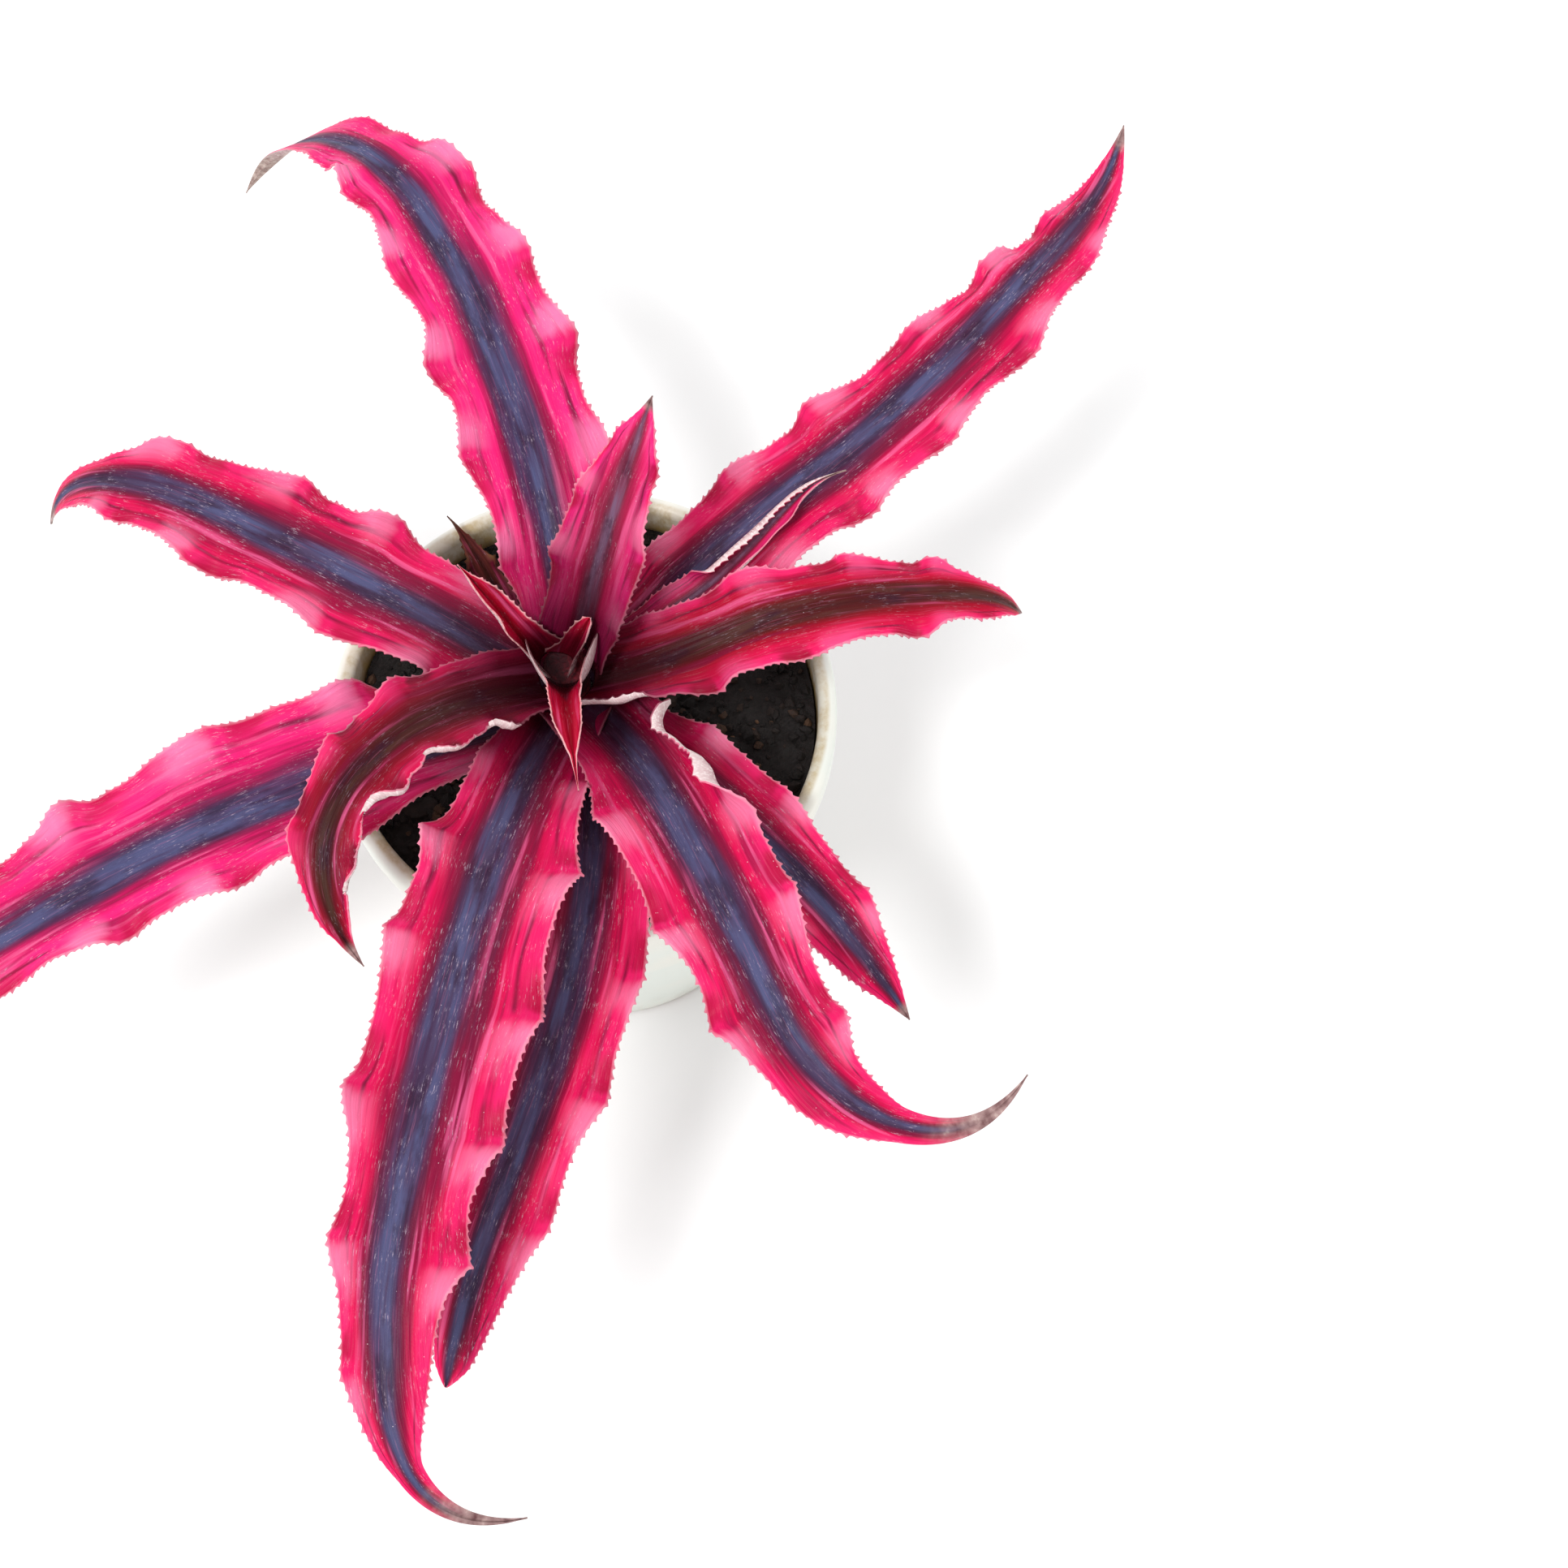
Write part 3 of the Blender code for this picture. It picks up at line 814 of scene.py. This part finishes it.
        mesh.materials.append(finishes[leaf.age] if leaf.age is Age.DEAD else under)
        solid = piece.modifiers.new("thickness", "SOLIDIFY")
        solid.thickness = self.thickness * MM * (1.0 if leaf.width > 12 else 0.7)
        solid.offset = -1.0
        solid.vertex_group = "thin"
        solid.material_offset = 1
        solid.material_offset_rim = 0
        apply_all(piece)
        piece.vertex_groups.clear()
        mesh.shade_smooth()
        return piece

    def lay_sheet(self, mesh: bpy.types.Mesh, wide: np.ndarray, long: np.ndarray) -> None:
        """Lays the UV map "blade", in centimetres across and along the leaf."""
        if "blade" not in mesh.uv_layers:
            mesh.uv_layers.new(name="blade")
        for other in [m for m in mesh.uv_layers if m.name != "blade"]:
            mesh.uv_layers.remove(other)
        layer = mesh.uv_layers["blade"]
        corners = np.zeros(len(mesh.loops), np.int32)
        mesh.loops.foreach_get("vertex_index", corners)
        both = np.stack([wide[corners], long[corners]], 1).astype(np.float32)
        layer.data.foreach_set("uv", both.ravel())


@dataclass
class Rosette:
    """All the leaves, and the stem that carries them."""

    rim_height: float
    stem_x: float
    leaves: tuple[Leaf, ...] = LEAVES

    def build(self) -> list[bpy.types.Object]:
        """Models every leaf and dresses the stem."""
        finishes = {age: finish.build() for age, finish in BLADE_FINISHES.items()}
        under = UnderFinish().build()
        made = []
        for leaf in self.leaves:
            piece = Blade(leaf, self.rim_height / MM, self.stem_x / MM).build(finishes, under)
            settle(piece, f"{leaf.node}_blade", self.slot_of(leaf), leaf.node)
            made.append(piece)
        self.dress_stem()
        return made

    def slot_of(self, leaf: Leaf) -> str:
        """The record's slot for a leaf's age."""
        if leaf.age is Age.DEAD:
            return "dead_leaf"
        return "pink_leaf" if leaf.age in (Age.MATURE, Age.ROSY) or leaf.node == (
            "leaf_hidden_right") else "young_leaf"

    def dress_stem(self) -> None:
        """Gives the CAD stem its fibrous finish, whose dark colours are partly painted shade for
        the rosette's heart.
        """
        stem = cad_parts["stem"]
        stem.data.materials.clear()
        stem.data.materials.append(StemFinish().build())
        LOG.info("stem: dressed")


# ---------------------------------------------------------------- pot and soil

@dataclass
class Pot:
    """The nursery pot: one skin drawn up its inside, over the rolled lip and down its outside."""

    low: Vector
    high: Vector
    wall: float = 1.8 * MM
    floor: float = 2.2 * MM
    lip_width: float = 3.9 * MM
    lip_depth: float = 9.0 * MM
    base_radius: float = 37.5 * MM
    sides: int = 144
    drain_count: int = 6
    drain_radius: float = 4.0 * MM
    drain_ring: float = 25.0 * MM

    @property
    def rim_radius(self) -> float:
        """The outer radius of the lip."""
        return (self.high.x - self.low.x) / 2

    @property
    def rim_height(self) -> float:
        """The height of the lip's top."""
        return self.high.z

    def profile(self) -> list[tuple[float, float]]:
        """Radius and height from the inside of the floor over the lip to the foot."""
        body_top = self.rim_radius - 2.2 * MM
        lip_low = self.rim_height - self.lip_depth
        inner_low = self.base_radius - self.wall
        inner_top = body_top - self.wall
        inner_lip = self.rim_radius - self.lip_width
        points = [(inner_low - 2 * MM, self.floor), (inner_low - 0.6 * MM, self.floor + 0.2 * MM),
                  (inner_low, self.floor + 1.2 * MM)]
        points += [(inner_top, lip_low), (inner_lip, lip_low + 2.5 * MM)]
        half = self.lip_width / 2
        for step in range(9):
            angle = math.pi * (1 - step / 8)
            points.append((inner_lip + half + half * math.cos(angle),
                           self.rim_height - half + half * math.sin(angle)))
        points += [(self.rim_radius - 0.1 * MM, lip_low + 1.2 * MM),
                   (self.rim_radius - 0.4 * MM, lip_low + 0.3 * MM),
                   (self.rim_radius - 1.0 * MM, lip_low),
                   (body_top + 0.3 * MM, lip_low), (body_top, lip_low - 0.3 * MM)]
        ledge = 0.42
        for share in (0.03, ledge, ledge + 0.012, 0.9):
            step_in = 0.35 * MM if share > ledge else 0.0
            points.append((body_top + share * (self.base_radius - body_top) - step_in,
                           lip_low * (1 - share)))
        points += [(self.base_radius, 2.2 * MM), (self.base_radius - 0.5 * MM, 0.8 * MM),
                   (self.base_radius - 1.5 * MM, 0.1 * MM), (self.base_radius - 2.6 * MM, 0.0)]
        return points

    def skin(self) -> bpy.types.Object:
        """Draws a disc out through every ring of the profile and closes it underneath."""
        profile = self.profile()
        radius, height = profile[0]
        pot = start(bpy.ops.mesh.primitive_circle_add, vertices=self.sides, radius=radius,
                    location=(0, 0, height), fill_type="NGON")
        bpy.ops.object.transform_apply(location=True, rotation=True, scale=True)
        bpy.ops.object.mode_set(mode="EDIT")
        bpy.ops.mesh.select_all(action="SELECT")
        bpy.ops.mesh.region_to_loop()
        for next_radius, next_height in profile[1:]:
            bpy.ops.mesh.extrude_region_move(
                TRANSFORM_OT_translate={"value": (0, 0, next_height - height)})
            share = next_radius / radius
            bpy.ops.transform.resize(value=(share, share, 1), center_override=(0, 0, next_height))
            radius, height = next_radius, next_height
        bpy.ops.mesh.edge_face_add()
        bpy.ops.mesh.select_all(action="SELECT")
        bpy.ops.mesh.normals_make_consistent(inside=False)
        bpy.ops.object.mode_set(mode="OBJECT")
        return pot

    def drill(self, pot: bpy.types.Object) -> None:
        """Cuts the ring of drainage holes through the floor."""
        for number in range(self.drain_count):
            angle = 2 * math.pi * number / self.drain_count
            place = (self.drain_ring * math.cos(angle), self.drain_ring * math.sin(angle),
                     self.floor / 2)
            drill = start(bpy.ops.mesh.primitive_cylinder_add, vertices=40,
                          radius=self.drain_radius, depth=4 * self.floor, location=place)
            cut = pot.modifiers.new("drain", "BOOLEAN")
            cut.operation = "DIFFERENCE"
            cut.solver = "EXACT"
            cut.object = drill
            apply_all(pot)
            bpy.data.objects.remove(drill, do_unlink=True)

    def build(self, soil_top: float) -> bpy.types.Object:
        """Models and dresses the pot.

        Args:
            soil_top: Height of the soil, where the stain inside the wall is.

        Returns:
            The finished piece.
        """
        pot = self.skin()
        self.drill(pot)
        pot.data.materials.clear()
        slope = (self.rim_radius - 2.2 * MM - self.base_radius) / (
            self.rim_height - self.lip_depth)
        pot.data.materials.append(PotFinish().build(
            soil_top, self.base_radius - self.wall / 2, slope))
        bpy.ops.object.select_all(action="DESELECT")
        pot.select_set(True)
        bpy.context.view_layer.objects.active = pot
        bpy.ops.object.shade_smooth_by_angle(angle=math.radians(38))
        settle(pot, "pot_shell", "pot_plastic", "pot")
        return pot


@dataclass
class Soil:
    """The potting mix: a rough-topped plug with loose crumbs and bark on it."""

    low: Vector
    high: Vector
    bottom_radius: float
    steps: int = 150
    crumbs: int = 1500
    bark: int = 46
    seed: int = 7

    @property
    def radius(self) -> float:
        """The plug's radius at its top."""
        return (self.high.x - self.low.x) / 2

    def lift(self, x: float, y: float) -> float:
        """The height of the surface over the plug's top at a place."""
        spot = Vector((x, y, 0.0))
        coarse = noise.noise(spot * 55) * 1.3 * MM
        fine = noise.noise(spot * 260) * 0.9 * MM + noise.noise(spot * 800) * 0.4 * MM
        return coarse + fine - 0.9 * MM

    def plug(self) -> bpy.types.Object:
        """Models the plug: a square grid drawn round, roughened, then drawn down and closed."""
        soil = start(bpy.ops.mesh.primitive_grid_add, x_subdivisions=self.steps,
                     y_subdivisions=self.steps, size=2)
        for vertex in soil.data.vertices:
            x, y = vertex.co.x, vertex.co.y
            round_x = x * math.sqrt(max(0.0, 1 - y * y / 2)) * self.radius
            round_y = y * math.sqrt(max(0.0, 1 - x * x / 2)) * self.radius
            vertex.co = (round_x, round_y, self.high.z + self.lift(round_x, round_y))
        bpy.ops.object.mode_set(mode="EDIT")
        bpy.ops.mesh.select_all(action="SELECT")
        bpy.ops.mesh.region_to_loop()
        drop = self.low.z - self.high.z
        bpy.ops.mesh.extrude_region_move(TRANSFORM_OT_translate={"value": (0, 0, drop)})
        share = self.bottom_radius / self.radius
        bpy.ops.transform.resize(value=(share, share, 0.0),
                                 center_override=(0, 0, self.low.z))
        bpy.ops.mesh.edge_face_add()
        bpy.ops.mesh.select_all(action="SELECT")
        bpy.ops.mesh.normals_make_consistent(inside=False)
        bpy.ops.object.mode_set(mode="OBJECT")
        return soil

    def crumb(self, flat: float) -> bpy.types.Mesh:
        """Models one crumb of about 1 mm, which every loose grain copies."""
        grain = start(bpy.ops.mesh.primitive_ico_sphere_add, subdivisions=1, radius=0.5 * MM)
        for vertex in grain.data.vertices:
            vertex.co *= 1 + 0.5 * noise.noise(vertex.co * 1900 + Vector((flat, 0, 0)))
            vertex.co.z *= flat
        mesh = grain.data
        bpy.data.objects.remove(grain, do_unlink=True)
        return mesh

    def scatter(self, chance: random.Random, mesh: bpy.types.Mesh, count: int,
                sizes: tuple[float, float], long: float, form: bmesh.types.BMesh) -> None:
        """Adds copies of a crumb, turned and sized by chance, lying on the surface.

        Args:
            chance: The seeded source of numbers.
            mesh: The crumb.
            count: How many copies.
            sizes: Smallest and largest scale.
            long: How much longer than wide a copy may be.
            form: What they are added to.
        """
        layer = form.verts.layers.float["shade"]
        for _ in range(count):
            reach = (self.radius - 1.2 * MM) * math.sqrt(chance.random())
            angle = chance.uniform(0, 2 * math.pi)
            size = sizes[0] + (sizes[1] - sizes[0]) * chance.random() ** 2.5
            x, y = reach * math.cos(angle), reach * math.sin(angle)
            copy = mesh.copy()
            turn = Matrix.Rotation(chance.uniform(0, 6.3), 4, "Z") @ Matrix.Rotation(
                chance.uniform(-0.7, 0.7), 4, "X")
            scale = Matrix.Diagonal((size * chance.uniform(1, long), size, size, 1))
            place = Vector((x, y, self.high.z + self.lift(x, y) + 0.2 * size * MM))
            copy.transform(Matrix.Translation(place) @ turn @ scale)
            first = len(form.verts)
            form.from_mesh(copy)
            form.verts.ensure_lookup_table()
            shade = chance.random() ** 1.6
            for vertex in form.verts[first:]:
                vertex[layer] = shade
            bpy.data.meshes.remove(copy)

    def build(self) -> bpy.types.Object:
        """Models the plug and its loose crumbs as one piece, and dresses it."""
        soil = self.plug()
        attribute(soil.data, "shade", np.full(len(soil.data.vertices), 0.18))
        chance = random.Random(self.seed)
        round_crumb, chip = self.crumb(0.9), self.crumb(0.35)
        form = bmesh.new()
        form.from_mesh(soil.data)
        self.scatter(chance, round_crumb, self.crumbs, (0.7, 3.0), 1.5, form)
        self.scatter(chance, chip, self.bark, (2.0, 5.0), 2.4, form)
        form.to_mesh(soil.data)
        form.free()
        for mesh in (round_crumb, chip):
            bpy.data.meshes.remove(mesh)
        soil.data.materials.clear()
        soil.data.materials.append(SoilFinish().build())
        settle(soil, "potting_mix", "soil", "potting_soil")
        return soil


# ---------------------------------------------------------------- studio

@dataclass
class Studio:
    """A pale floor, soft light from above and the camera."""

    target: Vector
    distance: float = 0.462
    elevation: float = 66.0
    lens: float = 52.17
    floor_size: float = 40.0

    def floor(self) -> None:
        """Lays a plain, pale, level floor."""
        ground = start(bpy.ops.mesh.primitive_plane_add, size=self.floor_size)
        ground.name = "studio_floor"
        g = Graph("studio_paper")
        tone = g.noise(g.place(), 2.0, 1.0)
        colour = g.blend(tone, "FAFAFA", "F6F6F7")
        ground.data.materials.append(g.finish(colour, 0.9, g.bump(tone, 0.01, 0.001),
                                              Specular_IOR_Level=0.1))

    def light(self) -> None:
        """Sets a soft key lamp, a weaker one behind and an even surround."""
        world = bpy.data.worlds.new("studio_air")
        world.use_nodes = True
        air = world.node_tree.nodes["Background"]
        air.inputs["Color"].default_value = (1.0, 1.0, 1.0, 1.0)
        air.inputs["Strength"].default_value = 0.8
        bpy.context.scene.world = world
        self.sun("key", (-0.35, -0.45, 1.0), 1.75, 14.0)
        self.sun("back", (0.5, 0.9, 0.8), 0.45, 40.0)

    def sun(self, name: str, towards: tuple[float, float, float], power: float,
            softness: float) -> None:
        """Adds one distant lamp.

        Args:
            name: The lamp's name.
            towards: The direction from the object to the lamp.
            power: Its strength.
            softness: The angle that it fills, in degrees.
        """
        lamp = bpy.data.lights.new(name, "SUN")
        lamp.energy = power
        lamp.angle = math.radians(softness)
        holder = bpy.data.objects.new(name, lamp)
        holder.rotation_mode = "QUATERNION"
        holder.rotation_quaternion = Vector(towards).to_track_quat("Z", "Y")
        bpy.context.scene.collection.objects.link(holder)

    def camera(self) -> None:
        """Sets the camera above the front of the plant."""
        angle = math.radians(self.elevation)
        back = Vector((0.0, -math.cos(angle), math.sin(angle)))
        eye = bpy.data.cameras.new("camera")
        eye.lens = self.lens
        eye.sensor_width = 36.0
        eye.clip_start = 0.01
        holder = bpy.data.objects.new("camera", eye)
        holder.location = self.target + back * self.distance
        holder.rotation_mode = "QUATERNION"
        holder.rotation_quaternion = back.to_track_quat("Z", "Y")
        bpy.context.scene.collection.objects.link(holder)
        bpy.context.scene.camera = holder

    def build(self) -> None:
        """Sets up the whole studio."""
        self.camera()
        self.floor()
        self.light()
        bpy.context.scene.view_settings.view_transform = "Standard"
        LOG.info("studio: ready")


def corners(box: tuple[Vector, Vector]) -> list[list[float]]:
    """A box as plain lists of numbers."""
    return [list(corner) for corner in box]


def main() -> None:
    """Builds every piece in order."""
    logging.basicConfig(level=logging.INFO, format="%(name)s %(message)s")
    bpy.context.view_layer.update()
    pot = Pot(*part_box("pot"))
    soil_low, soil_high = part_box("potting_soil")
    stem_low, stem_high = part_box("stem")
    Studio(Vector((0.0415, -0.0176, pot.rim_height))).build()
    pot.build(soil_high.z)
    Soil(soil_low, soil_high, pot.base_radius - pot.wall - 0.3 * MM).build()
    Rosette(pot.rim_height, (stem_low.x + stem_high.x) / 2).build()


if __name__ == "__main__":
    main()
